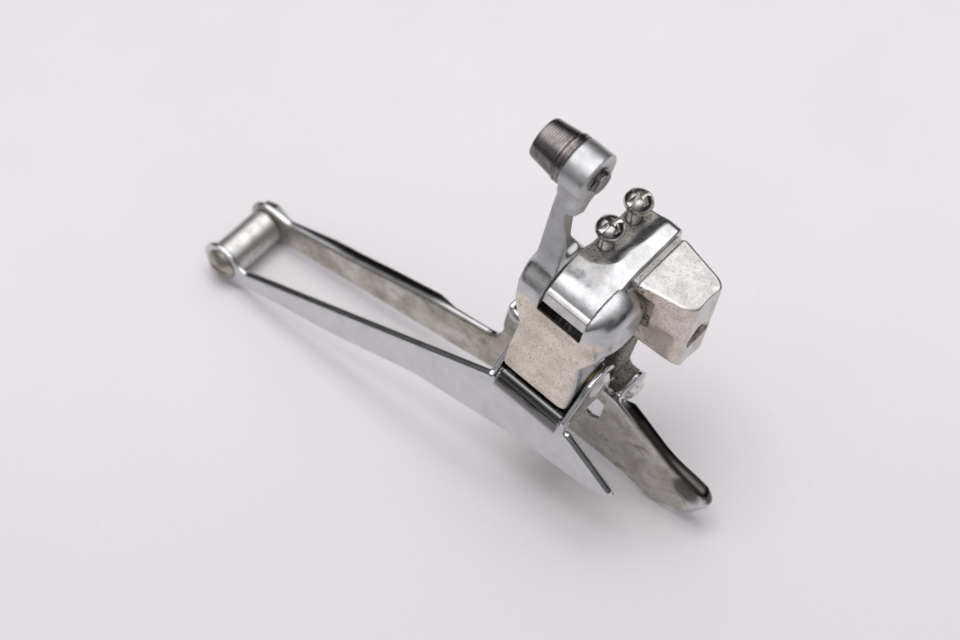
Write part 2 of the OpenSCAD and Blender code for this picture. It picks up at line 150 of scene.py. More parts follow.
def polygon(u, v, points):
    """Distance to a closed outline in the u, v plane, negative inside."""
    u, v = np.broadcast_arrays(u, v)
    nearest = np.full(u.shape, np.inf, np.float32)
    inside = np.zeros(u.shape, bool)
    for (au, av), (bu, bv) in zip(points, points[1:] + points[:1]):
        du, dv = bu - au, bv - av
        t = np.clip(((u - au) * du + (v - av) * dv) / (du * du + dv * dv), 0, 1)
        nearest = np.minimum(nearest, (u - au - t * du) ** 2 + (v - av - t * dv) ** 2)
        if dv:
            inside ^= ((av > v) != (bv > v)) & (u < du * (v - av) / dv + au)
    return np.where(inside, -1, 1) * np.sqrt(nearest)


def rounded(points):
    """Replaces every corner (u, v, radius) of an outline by an arc."""
    out = []
    for i, (u, v, radius) in enumerate(points):
        corner = np.array([u, v], float)
        if radius == 0:
            out.append((u, v))
            continue
        before, after = (np.array(points[k][:2], float) for k in (i - 1, (i + 1) % len(points)))
        back = (before - corner) / np.linalg.norm(before - corner)
        ahead = (after - corner) / np.linalg.norm(after - corner)
        half = math.acos(np.clip(back @ ahead, -1, 1)) / 2
        inwards = (back + ahead) / np.linalg.norm(back + ahead)
        centre = corner + inwards * radius / math.sin(half)
        start, end = (corner + way * radius / math.tan(half) - centre for way in (back, ahead))
        from_angle = math.atan2(start[1], start[0])
        turn = (math.atan2(end[1], end[0]) - from_angle + 3 * math.pi) % (2 * math.pi) - math.pi
        for k in range(ARC_STEPS + 1):
            angle = from_angle + turn * k / ARC_STEPS
            out.append((centre[0] + radius * math.cos(angle), centre[1] + radius * math.sin(angle)))
    return out


def join(a, b, r=0.0):
    """Union with a fillet of radius r in the inner corner."""
    if r == 0:
        return np.minimum(a, b)
    u, v = np.maximum(r - a, 0), np.maximum(r - b, 0)
    return np.maximum(r, np.minimum(a, b)) - np.hypot(u, v)


def meet(a, b, r=0.0):
    """Intersection with its edge rounded to radius r, which may vary from place to place."""
    if np.ndim(r) == 0 and r == 0:
        return np.maximum(a, b)
    u, v = np.maximum(r + a, 0), np.maximum(r + b, 0)
    return np.minimum(-r, np.maximum(a, b)) + np.hypot(u, v)


def cut(a, b, r=0.0):
    """a less b, with the cut's edge rounded to radius r."""
    return meet(a, -b, r)


def between(t, points):
    """Straight-line value at t through (t, value) points."""
    return np.interp(t, *zip(*points)).astype(np.float32)


# ---- from fields to meshes ----

PULL_IN = 0.5
PUSH_OUT = -0.52


def window_of(shape, others, du, dv):
    """Index of the grid edges at one of the four corners (du, dv) of every cell, seen along an axis."""
    window = [slice(None)] * 3
    window[others[0]] = slice(du, du + shape[others[0]])
    window[others[1]] = slice(dv, dv + shape[others[1]])
    return tuple(window)


def surface_net(field, low, step):
    """Vertices and quads of the surface where a field of distances is zero."""
    inside = field < 0
    shape = np.array(field.shape) - 1
    total = np.zeros((*shape, 3), np.float32)
    count = np.zeros(shape, np.float32)
    crossings = []
    for axis in range(3):
        a = np.take(field, range(field.shape[axis] - 1), axis)
        b = np.take(field, range(1, field.shape[axis]), axis)
        cross = (a < 0) != (b < 0)
        share = np.where(cross, a / np.where(cross, a - b, 1), 0)
        others = [k for k in range(3) if k != axis]
        for du, dv in ((0, 0), (0, 1), (1, 0), (1, 1)):
            window = window_of(shape, others, du, dv)
            crossed = cross[window]
            count += crossed
            total[..., axis] += share[window]
            total[..., others[0]] += crossed * du
            total[..., others[1]] += crossed * dv
        crossings.append(cross)
    used = count > 0
    index = np.full(shape, -1, np.int64)
    index[used] = np.arange(used.sum())
    points = (np.argwhere(used) + total[used] / count[used][:, None]) * step + np.array(low)
    quads = [quads_across(axis, crossings[axis], index, inside) for axis in range(3)]
    return points, np.vstack(quads)


def quads_across(axis, crossing, index, inside):
    """One quad round every grid edge along an axis that passes through the surface."""
    shape = index.shape
    first, second = (k for k in range(3) if k != axis)
    at = np.argwhere(crossing)
    at = at[(at[:, first] > 0) & (at[:, second] > 0)]
    at = at[(at[:, first] < shape[first]) & (at[:, second] < shape[second])]
    ring = []
    for du, dv in ((1, 1), (0, 1), (0, 0), (1, 0)):
        cell = at.copy()
        cell[:, first] -= du
        cell[:, second] -= dv
        ring.append(index[tuple(cell.T)])
    ring = np.stack(ring, 1)
    flip = inside[tuple(at.T)] == (axis == 1)
    ring[flip] = ring[flip][:, ::-1]
    return ring


def smoothed(points, quads, rounds):
    """Moves every point towards its neighbours' average, then back out, to keep the volume."""
    a = quads.ravel()
    b = np.roll(quads, -1, 1).ravel()
    ends, starts = np.concatenate([a, b]), np.concatenate([b, a])
    n = len(points)
    weight = np.bincount(ends, minlength=n)[:, None]
    for _ in range(rounds):
        for pull in (PULL_IN, PUSH_OUT):
            mean = np.stack([np.bincount(ends, points[starts, k], n) for k in range(3)], 1) / weight
            points = points + pull * (mean - points)
    return points


def mesh_object(name, points, quads):
    """A smooth-shaded object from points in millimetres about the upper outer pivot."""
    mesh = bpy.data.meshes.new(name)
    mesh.vertices.add(len(points))
    world = (points + np.array(PIVOT)) * MM
    mesh.vertices.foreach_set("co", world.astype(np.float32).ravel())
    mesh.loops.add(quads.size)
    mesh.loops.foreach_set("vertex_index", quads.ravel().astype(np.int32))
    mesh.polygons.add(len(quads))
    mesh.polygons.foreach_set("loop_start", np.arange(0, quads.size, quads.shape[1], dtype=np.int32))
    mesh.update(calc_edges=True)
    mesh.validate()
    mesh.polygons.foreach_set("use_smooth", np.ones(len(mesh.polygons), bool))
    obj = bpy.data.objects.new(name, mesh)
    bpy.context.scene.collection.objects.link(obj)
    return obj


def carve(name, field, place, rounds=2):
    """Turns a field into an object. place is the grid's lowest corner and step."""
    low, step = place
    points, quads = surface_net(field, low, step)
    return mesh_object(name, smoothed(points, quads, rounds), quads)


# ---- parallelogram castings ----

CAST_STEP = 0.2
THROUGH = 60
PIN_R = 2.0
BUSH_R = PIN_R + 0.9
BARREL_HALF = node_box("upper_outer_bush")[1][1]
BARREL_R = 7.0
BARREL_GAP = 0.25
EAR_IN = BARREL_HALF + 0.05
EAR_OUT = 10.6
LINK_EDGE = EAR_OUT + 0.1
LINK_EYE_R = 3.8
FACE_TOP = (7.7, 0.4)
FACE_BOTTOM = (10.0, -22.4)
FACE_WALL = 2.2
BOSS_R = 5.25
BOLT_HOLE_R = 2.56


def link_side(x, z):
    """The outer link below its arm, seen from the front."""
    leaf = polygon(x, z, rounded([
        (3, 6, 0), (FACE_TOP[0], 4.5, 3), (*FACE_TOP, 0), (*FACE_BOTTOM, 1.2),
        (LOWER_OUTER[0], LOWER_OUTER[1] - LINK_EYE_R, 0), (-1.2, -13, 5), (-4.5, -5, 0),
    ]))
    side = join(disc(x, z, UPPER_OUTER, BARREL_R), leaf, 1)
    return join(side, disc(x, z, LOWER_OUTER, LINK_EYE_R), 1.5)


def link_face(y, z):
    """The outer link below its arm, seen from its outer side: wide at the ears, waisted below."""
    ear_front = 9.6
    return polygon(y, z, rounded([
        (-LINK_EDGE, 12, 0), (-LINK_EDGE, -1.5, 3), (-7.3, -8, 4), (-7.95, -16, 4), (-8.0, -24.5, 0.8),
        (7.6, -24.5, 1.2), (7.6, -14, 4), (7.0, -8.8, 3), (ear_front, -3.5, 2), (ear_front, 12, 0),
    ]))


def link_shell(x, y, z):
    """Ears and skirt, with a dome on the front ear."""
    shell = meet(link_side(x, z), link_face(y, z), 0.9)
    skirt = meet(shell, z + 2.0, 2.0)
    ears = meet(shell, y - 6.6, 1.2)
    dome = meet(disc(x, z, (-0.2, 0.2), BARREL_R - 0.1), slab(y, 3, EAR_OUT - 0.1), 3.6)
    return join(join(ears, skirt, 1.6), dome, 2.2)


def cable_arm(x, y, z):
    """Arm on the rear ear up to the cable-clamp boss, with a pocket in its front side."""
    side = polygon(x, z, rounded([
        (6.2, 2.5, 0), (3.9, 9.5, 5), (BOSS[0] + 4.7, BOSS[1] - 3.5, 0), (BOSS[0] - 4.4, BOSS[1] - 2.4, 0),
        (-0.9, BOSS[1] - 9, 5), (-2.2, 12, 6), (-5.6, 3.4, 0),
    ]))
    pocket = polygon(x, z, rounded([
        (-6, 8.9, 0), (1.4, 8.9, 2.5), (2.5, 17, 0), (3.3, 26.2, 1.2), (-2.5, 22.6, 3), (-6, 21, 0),
    ]))
    arm = meet(side, slab(y, -LINK_EDGE, -EAR_IN), 1.3)
    return cut(arm, meet(pocket, slab(y, -7.5, 2), 1.4), 0.45)


def link_openings(x, y, z):
    """Room for the barrel between the ears, and the hollow behind the face."""
    barrel_room = join(disc(x, z, UPPER_OUTER, BARREL_R + BARREL_GAP), slab(z, -0.6, THROUGH))
    hollow = polygon(x, z, [
        (-40, 10), (FACE_TOP[0] - FACE_WALL, 10), (FACE_TOP[0] - FACE_WALL, FACE_TOP[1]),
        (FACE_BOTTOM[0] - FACE_WALL, FACE_BOTTOM[1]), (FACE_BOTTOM[0] - FACE_WALL, -40), (-40, -40),
    ])
    return meet(join(barrel_room, hollow), slab(y, -EAR_IN, EAR_IN))


def outer_link():
    x, y, z, place = grid((-8.6, -11.6, -25), (11.4, 11.6, 39.6), CAST_STEP)
    link = join(link_shell(x, y, z), cable_arm(x, y, z), 2.2)
    boss = meet(disc(x, z, BOSS, BOSS_R), slab(y, -LINK_EDGE, -EAR_IN + 0.05), 0.45)
    link = join(link, boss, 1.6)
    link = cut(link, link_openings(x, y, z), 0.15)
    link = cut(link, meet(disc(x, z, UPPER_OUTER, PIN_R), slab(y, -THROUGH, EAR_IN + 3)))
    link = cut(link, disc(x, z, LOWER_OUTER, PIN_R + 0.06))
    link = cut(link, disc(x, z, BOSS, BOLT_HOLE_R), 0.3)
    cable_groove = disc(x, y, (BOSS[0] + 3.4, -EAR_OUT - 0.3), 1.0)
    link = cut(link, meet(cable_groove, z - BOSS[1]), 0.2)
    return carve("outer_link_casting", link, place)


# The mounting block's bolt hole runs along Y from its concave face
MOUTH = -PIVOT[1]
HOLE_R = 2.5
HOLE_DEPTH = 9
HOLE_BEVEL = 0.5
FRAME_TUBE_R = 13.9
RIDGE_FRONT = 5.75
BLOCK_REAR = 6.9
BLOCK_SIDE_X = -4.95
BLOCK_DRAFT = 0.21
TROUGH_START = (-6.4, -3.7, 13.7)
TROUGH_END = (-30, -2.0, 13.4)
TROUGH_R = 7.1
LUG_R = 4.4
SCREW_HOLE_R = 1.56


def pivot_barrel(x, y, z):
    """Barrel with a flat band along its outer side, relieved underneath."""
    band = polygon(x, z, [(0, 0), (2, 4.6), (5.7, 4.45), (6.45, 3.9), (6.95, 1.3), (6.95, 0)])
    barrel = join(disc(x, z, UPPER_OUTER, BARREL_R), band)
    relief = meet(meet(z - 1.2, -x), 4.8 - np.hypot(x, z))
    return meet(cut(barrel, relief, 0.25), slab(y, -BARREL_HALF, BARREL_HALF), 0.25)


def ridge(x, y, z):
    """Ridge from the barrel back over the inner link."""
    side = polygon(x, z, rounded([
        (0.5, 4.5, 0), (-4.4, 8.3, 5), (-20.2, 8.9, 2), (-20.9, 1.5, 2.5), (-15.5, -1.5, 2),
        (-6.5, -1.5, 0), (-3, -5.8, 0),
    ]))
    return meet(side, slab(y, -BARREL_HALF, RIDGE_FRONT), 0.4)


def mounting_block(x, y, z):
    """Block in front of the ridge, with a shallow facet low on its outer side."""
    plan = polygon(x, y, rounded([
        (-4.7, BLOCK_REAR, 0.8), (-7.4, 19.5, 4.6), (-16.6, 19.6, 3.6), (-19.2, BLOCK_REAR, 0.8),
    ]))
    outline = polygon(x, z, rounded([
        (-2, 8, 0), (-21.4, 8.1, 0.6), (-21, -3, 4), (-16.8, -15, 4), (-9.4, -15, 5), (-3.6, -7.5, 4),
    ]))
    block = meet(meet(plan, outline, 0.8), slab(y, BLOCK_REAR, THROUGH), 0.6)
    facet = polygon(y, z, rounded([
        (8.4, -1.8, 1), (16.2, -2.6, 1), (17.8, -11, 1.5), (16, -12.5, 1.5), (11.4, -8, 2),
    ]))
    return cut(block, meet(facet, BLOCK_SIDE_X - BLOCK_DRAFT * (y - BLOCK_REAR) - x), 0.25)


def add_lugs(body, x, y, z):
    """Joins on the two lugs that hold the upper inner pin."""
    web = meet(slab(x, -14, -7.4), slab(z, -10, 0))
    for rear, front in ((-6.4, -4.2), (4.2, 8)):
        lug = meet(join(disc(x, z, UPPER_INNER, LUG_R), web), slab(y, rear, front), 0.4)
        body = join(body, lug, 0.6)
    return body


def cut_mount(body, x, y, z):
    """Cuts the concave face that sits on the frame, and the bolt hole with its bevelled mouth."""
    body = cut(body, disc(x, y, (-PIVOT[0], MOUTH + FRAME_TUBE_R), FRAME_TUBE_R), 0.3)
    hole = disc(x, z, (-PIVOT[0], -PIVOT[2]), HOLE_R)
    body = cut(body, meet(hole, slab(y, MOUTH - HOLE_DEPTH, MOUTH + THROUGH)))
    return cut(body, hole - (y - MOUTH + HOLE_BEVEL))


def body_casting():
    x, y, z, place = grid((-22, -7.2, -15.8), (7.8, 20.4, 9.8), CAST_STEP)
    body = join(pivot_barrel(x, y, z), ridge(x, y, z), 2.5)
    neck = meet(slab(x, -18.4, -5.2), slab(z, -1, 7.6))
    body = join(body, meet(neck, slab(y, 2, 9)), 0.4)
    body = join(body, mounting_block(x, y, z), 0.5)
    body = add_lugs(body, x, y, z)
    body = cut(body, capsule(x, y, z, TROUGH_START, TROUGH_END, TROUGH_R), 0.6)
    ear_room = disc(x, z, UPPER_OUTER, BARREL_R + 0.4)
    body = cut(body, meet(ear_room, slab(y, BARREL_HALF, EAR_OUT + 0.6)))
    body = cut(body, disc(x, z, UPPER_OUTER, BUSH_R))
    body = cut(body, meet(disc(x, z, UPPER_INNER, PIN_R), slab(y, -THROUGH, 8.8)))
    for screw in SCREW_PLACES:
        body = cut(body, disc(x, y, screw, SCREW_HOLE_R), 0.35)
    return carve("body_casting_forged", cut_mount(body, x, y, z), place)


def inner_link():
    """Short link under the ridge: shoulders for the limit screws, a stem and a wide foot."""
    x, y, z, place = grid((-18.6, -5.2, -35), (-3, 11.6, -3.6), CAST_STEP)
    top_x, top_z = UPPER_INNER
    foot_x, foot_z = LOWER_INNER
    shoulders = polygon(x, z, rounded([
        (top_x - 7.4, top_z + 5, 0.8), (top_x - 4.6, top_z + 5, 0.8), (top_x - 3.6, top_z + 2.5, 1),
        (top_x + 3.2, top_z + 2.5, 0.8), (top_x + 3.9, top_z, 0.5), (top_x + 3, top_z - 3, 0),
        (top_x - 3, top_z - 3, 0), (top_x - 4.2, top_z, 2), (top_x - 7.4, top_z + 2.4, 0.8),
    ]))
    stem = polygon(x, z, [
        (top_x - 3.2, top_z - 2), (top_x + 3.2, top_z - 2),
        (foot_x + 2.6, foot_z + 1.5), (foot_x - 2.6, foot_z + 1.5),
    ])
    side = join(join(disc(x, z, UPPER_INNER, 4.1), shoulders, 0.5), stem, 1)
    side = join(side, disc(x, z, LOWER_INNER, 3.6), 2)
    narrow = meet(side, slab(y, -4.05, 4.05), 0.5)
    foot = meet(meet(side, z + 16.5, 1.5), slab(y, -4.05, 8.2), 0.9)
    link = join(narrow, foot, 1.5)
    link = join(link, meet(disc(x, z, LOWER_INNER, 3.5), slab(y, 0, 10.9), 0.3), 0.8)
    for pivot in (UPPER_INNER, LOWER_INNER):
        link = cut(link, disc(x, z, pivot, BUSH_R))
    return carve("inner_link_casting", link, place)


# ---- cage pressings ----

SHEET_STEP = 0.22
SHEET = 1.2
SEAT_GAP = 0.02
GAP_OUT = node_box("tail_spacer")[1][0] + SEAT_GAP
GAP_IN = node_box("tail_spacer")[0][0] - SEAT_GAP
OUTER_FACE = GAP_OUT + SHEET
INNER_BACK = GAP_IN - SHEET
BRIDGE_TOP = -24.0
BRIDGE_BOTTOM = -29
TAB_TOP = BRIDGE_TOP - SHEET
TAB_BOTTOM = BRIDGE_TOP - 2 * SHEET
BEND_SLOPE = (0.88, 0.475)
BEND_SHIFT = 1.75
HOOK_PLACES = (11.0, -16.8)
HOOK_R = 3.8
EAR_PLACES = (8.05, -8.05 - SHEET)
EAR_R = 4.6
TAIL_EYE_R = 5.2
TAIL_HOLE_R = 2.05
RIVET_R = 1.2
PRESSED_EDGE = 0.35
BEAD_R = 0.95


def cage_ear(x, y, z, rear):
    """Ear of the outer plate round the lower outer pin."""
    foot = polygon(x, z, rounded([
        (GAP_OUT + 0.4, TAB_TOP, 0), (GAP_OUT + 0.4, BRIDGE_TOP + 0.5, 0.6),
        (LOWER_OUTER[0] + 3.4, LOWER_OUTER[1] + 3.2, 0), (LOWER_OUTER[0] - 3.5, LOWER_OUTER[1] + 2.6, 0),
        (LOWER_OUTER[0] - EAR_R, LOWER_OUTER[1] - 1, 0), (LOWER_OUTER[0] - 4, TAB_TOP, 0),
    ]))
    side = join(disc(x, z, LOWER_OUTER, EAR_R), foot, 1)
    return meet(side, slab(y, rear, rear + SHEET), PRESSED_EDGE)


def cut_rivet_holes(sheet, x, y):
    for hole in RIVET_PLACES:
        sheet = cut(sheet, disc(x, y, hole, RIVET_R))
    return sheet


def cage_outer_plate():
    """Outer plate, the bridge folded from its top edge, two ears and two beads along the top."""
    x, y, z, place = grid((-4.4, -85.2, -73.6), (14, 25.6, -14.4), SHEET_STEP)
    outline = polygon(y, z, rounded([
        (TAIL[0] - 1, TAIL[1] - TAIL_EYE_R + 0.2, 0), (-46, -57.8, 20), (-27, -47.8, 30), (1, -39.4, 30),
        (16, -37.2, 6), (24.8, -33.8, 1), (22.9, -32.2, 0.9), (9.9, -24.2, 0.8),
        (9.6, BRIDGE_TOP, 0), (-7.4, BRIDGE_TOP, 0), (-8.3, -24.6, 0.5), (-73.5, -65.2, 3),
    ]))
    outline = join(outline, disc(y, z, TAIL, TAIL_EYE_R), 3)
    plate = meet(outline, slab(x, GAP_OUT, OUTER_FACE), 0.4)
    facet = BEND_SLOPE[0] * (x - OUTER_FACE) + BEND_SLOPE[1] * (z - BRIDGE_TOP) + BEND_SHIFT
    bend = meet(meet(x - OUTER_FACE, z - BRIDGE_TOP, 0.3), facet, 0.5)
    bridge = np.maximum(bend, -(bend + SHEET))
    bridge = meet(bridge, meet(slab(y, -7.6, 9.25), slab(x, -3.6, THROUGH)), PRESSED_EDGE)
    cage = join(np.maximum(plate, bend), meet(bridge, BRIDGE_BOTTOM - z), 0.3)
    for rear in EAR_PLACES:
        cage = join(cage, cage_ear(x, y, z, rear), 0.8)
    bead_x = OUTER_FACE - 0.35
    for rear, front in (((-71.5, -63.8), (-8.6, -25.1)), ((10.6, -24.9), (22.4, -32.3))):
        cage = join(cage, capsule(x, y, z, (bead_x, *rear), (bead_x, *front), BEAD_R), 0.25)
    cage = cut(cage, disc(y, z, TAIL, TAIL_HOLE_R))
    cage = cut(cage, disc(x, z, LOWER_OUTER, PIN_R))
    return carve("cage_outer_pressing", cut_rivet_holes(cage, x, y), place)


def cage_hook(x, y, z, rear):
    """Hook of the inner plate round the lower inner pin."""
    arm = meet(
        slab(x, LOWER_INNER[0], INNER_BACK + 0.5),
        slab(z, LOWER_INNER[1] - HOOK_R, LOWER_INNER[1] + HOOK_R),
    )
    side = join(disc(x, z, LOWER_INNER, HOOK_R), arm)
    return meet(side, slab(y, rear, rear + SHEET), PRESSED_EDGE)


def inner_outline(x, y, z):
    """Inner plate seen from its side, drawn in below where the flange droops."""
    outline = polygon(y, z, rounded([
        (TAIL[0] - 1, TAIL[1] - TAIL_EYE_R + 0.1, 0), (-54, -63.4, 20), (-14, -51.2, 30), (10, -51, 10),
        (26, -53.2, 8), (34.5, -48.5, 6), (38.4, -40, 3), (36.6, -36.2, 3), (28, -34.6, 20),
        (12.4, TAB_BOTTOM, 1.5), (-15.8, TAB_BOTTOM, 1.5), (-17, -39.6, 5), (-34, -45.2, 25),
        (-56, -54.8, 25), (TAIL[0] + 2, TAIL[1] + TAIL_EYE_R - 1, 2),
    ]))
    outline = join(outline, disc(y, z, TAIL, TAIL_EYE_R), 3)
    droop = between(y, [(-30, 0.22), (10, 0.5)])
    return outline + droop * np.maximum(GAP_IN - SHEET - x, 0)


def inner_skin(x, y, z):
    """Inner plate's sheet: flat on the chain's side, rolled into a flange along its top edge."""
    bend = between(y, [(-60, 0.9), (8, 1.2), (18, 3.2), (40, 3.4)])
    skin = meet(inner_outline(x, y, z), x - GAP_IN, bend)
    skin = np.maximum(skin, -(skin + SHEET))
    flange = between(y, [
        (-84, 0), (-75, 0.6), (-66, 1.5), (-62, 1.9), (-45, 2.0), (-34, 1.8), (-29, 0.6), (-18, 0.4),
        (-16.6, 0), (12.8, 0), (15, 2.2), (24, 1.7), (32, 2.3), (37, 2.2), (40, 1.5),
    ])
    above_middle = polygon(y, z, [
        (-90, -75), (-70, -66.5), (-54, -59), (-14, -47), (10, -45), (30, -47.5), (34, -51), (45, -54),
        (45, -10), (-90, -10),
    ])
    inner_limit = np.where(above_middle < 0, INNER_BACK - flange, INNER_BACK)
    return meet(skin, inner_limit - x, PRESSED_EDGE)


def cage_inner_plate():
    """Inner plate with its flange, a window, two tabs under the bridge and two hooks."""
    x, y, z, place = grid((-12, -85.2, -74.6), (-0.6, 39.8, -24.8), SHEET_STEP)
    window = polygon(y, z, rounded([
        (6, -38.6, 0.6), (8, -31.8, 0.6), (9.8, -32.6, 0.6), (9.6, -38.8, 0.6), (7.4, -40, 0.6),
    ]))
    plate = cut(inner_skin(x, y, z), window, 0.2)
    plate = cut(plate, disc(y, z, TAIL, TAIL_HOLE_R))
    tab = meet(slab(z, TAB_BOTTOM, TAB_TOP - SEAT_GAP), slab(x, INNER_BACK, 5))
    for _, at in RIVET_PLACES:
        plate = join(plate, meet(tab, slab(y, at - 3, at + 3), 0.3), 0.3)
    plate = cut_rivet_holes(plate, x, y)
    for rear in HOOK_PLACES:
        plate = join(plate, cage_hook(x, y, z, rear), 0.9)
    plate = cut(plate, disc(x, z, LOWER_INNER, PIN_R))
    return carve("cage_inner_pressing", plate, place)


# ---- turned parts ----

def thread(w, u, v, pitch, depth):
    """Height of the thread on a screw that runs along w and is seen end on in u, v."""
    return depth * np.cos(2 * math.pi * w / pitch - np.arctan2(v, u))


def limit_screw(name, node):
    """Domed screw with a slot and a cross, and a cut thread."""
    head_r, head_h, dome_r = 2.95, 1.9, 3.25
    slot_half = 0.5
    low, high = node_box(node)
    at = middle(node)
    seat = high[2] - head_h
    x, y, z, place = grid(
        (at[0] - 3.3, at[1] - 3.3, low[2] - 0.3), (at[0] + 3.3, at[1] + 3.3, high[2] + 0.9), 0.085)
    u, v, w = x - at[0], y - at[1], z - seat
    r = np.hypot(u, v)
    head = meet(ball(u, v, w, (0, 0, -0.75), dome_r), r - head_r, 0.2)
    head = meet(head, -w, 0.15)
    turn = math.radians(164)
    along = u * math.cos(turn) + v * math.sin(turn)
    across = v * math.cos(turn) - u * math.sin(turn)
    head = cut(head, meet(np.abs(across) - slot_half, 1.2 - w), 0.08)
    head = cut(head, meet(meet(np.abs(along) - slot_half, np.abs(across) - 1.9), 0.8 - w), 0.08)
    shank = meet(r - 1.38 - thread(w, u, v, 0.6, 0.15), slab(w, low[2] - seat, 0.3), 0.2)
    return carve(name, join(head, shank, 0.1), place, 0)


def clamp_bolt():
    """Cone-headed bolt: a turned cone with a key socket, and the thread's end in front of the boss."""
    head_h, head_r, flare, half_key = 5.6, 4.9, 0.125, 2.5
    low, high = node_box("cable_clamp_bolt")
    x, y, z, place = grid(
        (BOSS[0] - 5.2, low[1] - 0.3, BOSS[1] - 5.2), (BOSS[0] + 5.2, high[1] + 0.4, BOSS[1] + 5.2), 0.11)
    u, v = x - BOSS[0], z - BOSS[1]
    r = np.hypot(u, v)
    base = low[1] + head_h
    tool_marks = 0.05 * np.cos(2 * math.pi * y / 0.5)
    head = meet(r - (head_r + flare * (y - base) + tool_marks), slab(y, low[1], base), 0.3)
    flats = [np.abs(u * math.cos(a) + v * math.sin(a)) for a in np.radians((0, 60, 120))]
    key = np.maximum.reduce(flats) - half_key
    head = cut(head, meet(key, y - low[1] - 2.9), 0.15)
    shank = meet(r - 2.34 - thread(y, u, v, 0.8, 0.14), slab(y, base - 0.5, high[1]), 0.3)
    return carve("clamp_bolt_turned", join(head, shank), place, 0)


def clamp_washer():
    """Washer between the cone and the boss, with a groove round its rim."""
    low, high = node_box("cable_clamp_washer")
    x, y, z, place = grid_round("cable_clamp_washer", 0.3, 0.11)
    r = disc(x, z, BOSS, 0)
    ring = meet(r - 5.2, slab(y, low[1], high[1]), 0.4)
    groove = np.hypot(r - 5.35, y - (low[1] + high[1]) / 2 - 0.15) - 0.28
    return carve("clamp_washer_turned", cut(cut(ring, groove, 0.08), r - 2.6, 0.15), place, 0)


def tail_spacer():
    low, high = node_box("tail_spacer")
    x, y, z, place = grid_round("tail_spacer", 0.4, 0.16)
    r = disc(y, z, TAIL, 0)
    tube = meet(r - 4, slab(x, low[0], high[0]), 0.5)
    return carve("tail_spacer_turned", cut(tube, r - 2.1, 0.2), place, 1)


def tail_screw():
    """Domed head outside the outer plate, shank through both plates."""
    head_r, dome_r, slot_half = 3.9, 4.85, 0.5
    low, high = node_box("tail_screw")
    x, y, z, place = grid(
        (low[0] - 0.3, TAIL[0] - 4.4, TAIL[1] - 4.4), (high[0] + 0.3, TAIL[0] + 4.4, TAIL[1] + 4.4), 0.13)
    r = disc(y, z, TAIL, 0)
    seat = OUTER_FACE + SEAT_GAP
    dome = meet(ball(x, y, z, (seat - 2.9, *TAIL), dome_r), r - head_r, 0.3)
    dome = meet(dome, seat - x, 0.1)
    slot = meet(np.abs(z - TAIL[1]) - slot_half, seat + 1.0 - x)
    shank = meet(r - 1.95, slab(x, low[0], seat + 0.5), 0.3)
    return carve("tail_screw_turned", join(cut(dome, slot, 0.1), shank), place, 1)


# ---- finishes ----

class NodeTree:
    """Short names for the shader nodes that the finishes and the room are made of."""

    def __init__(self, tree):
        self.nodes = tree.nodes
        self.links = tree.links

    def find(self, kind):
        return next(node for node in self.nodes if node.type == kind)

    def put(self, socket, value):
        """Links an output to a socket, or sets the socket to a plain value."""
        if isinstance(value, bpy.types.NodeSocket):
            self.links.new(value, socket)
        else:
            socket.default_value = value

    def math(self, operation, *values, clamp=False):
        node = self.nodes.new("ShaderNodeMath")
        node.operation = operation
        node.use_clamp = clamp
        for socket, value in zip(node.inputs, values):
            self.put(socket, value)
        return node.outputs[0]

    def times(self, a, b):
        return self.math("MULTIPLY", a, b)

    def plus(self, a, b):
        return self.math("ADD", a, b)

    def larger(self, a, b):
        return self.math("MAXIMUM", a, b)

    def vector(self, operation, a, b, output=0):
        node = self.nodes.new("ShaderNodeVectorMath")
        node.operation = operation
        self.put(node.inputs[0], a)
        self.put(node.inputs[1], b)
        return node.outputs[output]

    def dot(self, a, b):
        return self.vector("DOT_PRODUCT", a, b, output=1)

    def blend(self, share, a, b):
        """Colour that goes from a to b as share goes from 0 to 1."""
        node = self.nodes.new("ShaderNodeMix")
        node.data_type = "RGBA"
        for key, value in zip(("Factor_Float", "A_Color", "B_Color"), (share, a, b)):
            self.put(next(socket for socket in node.inputs if socket.identifier == key), value)
        return next(socket for socket in node.outputs if socket.identifier == "Result_Color")


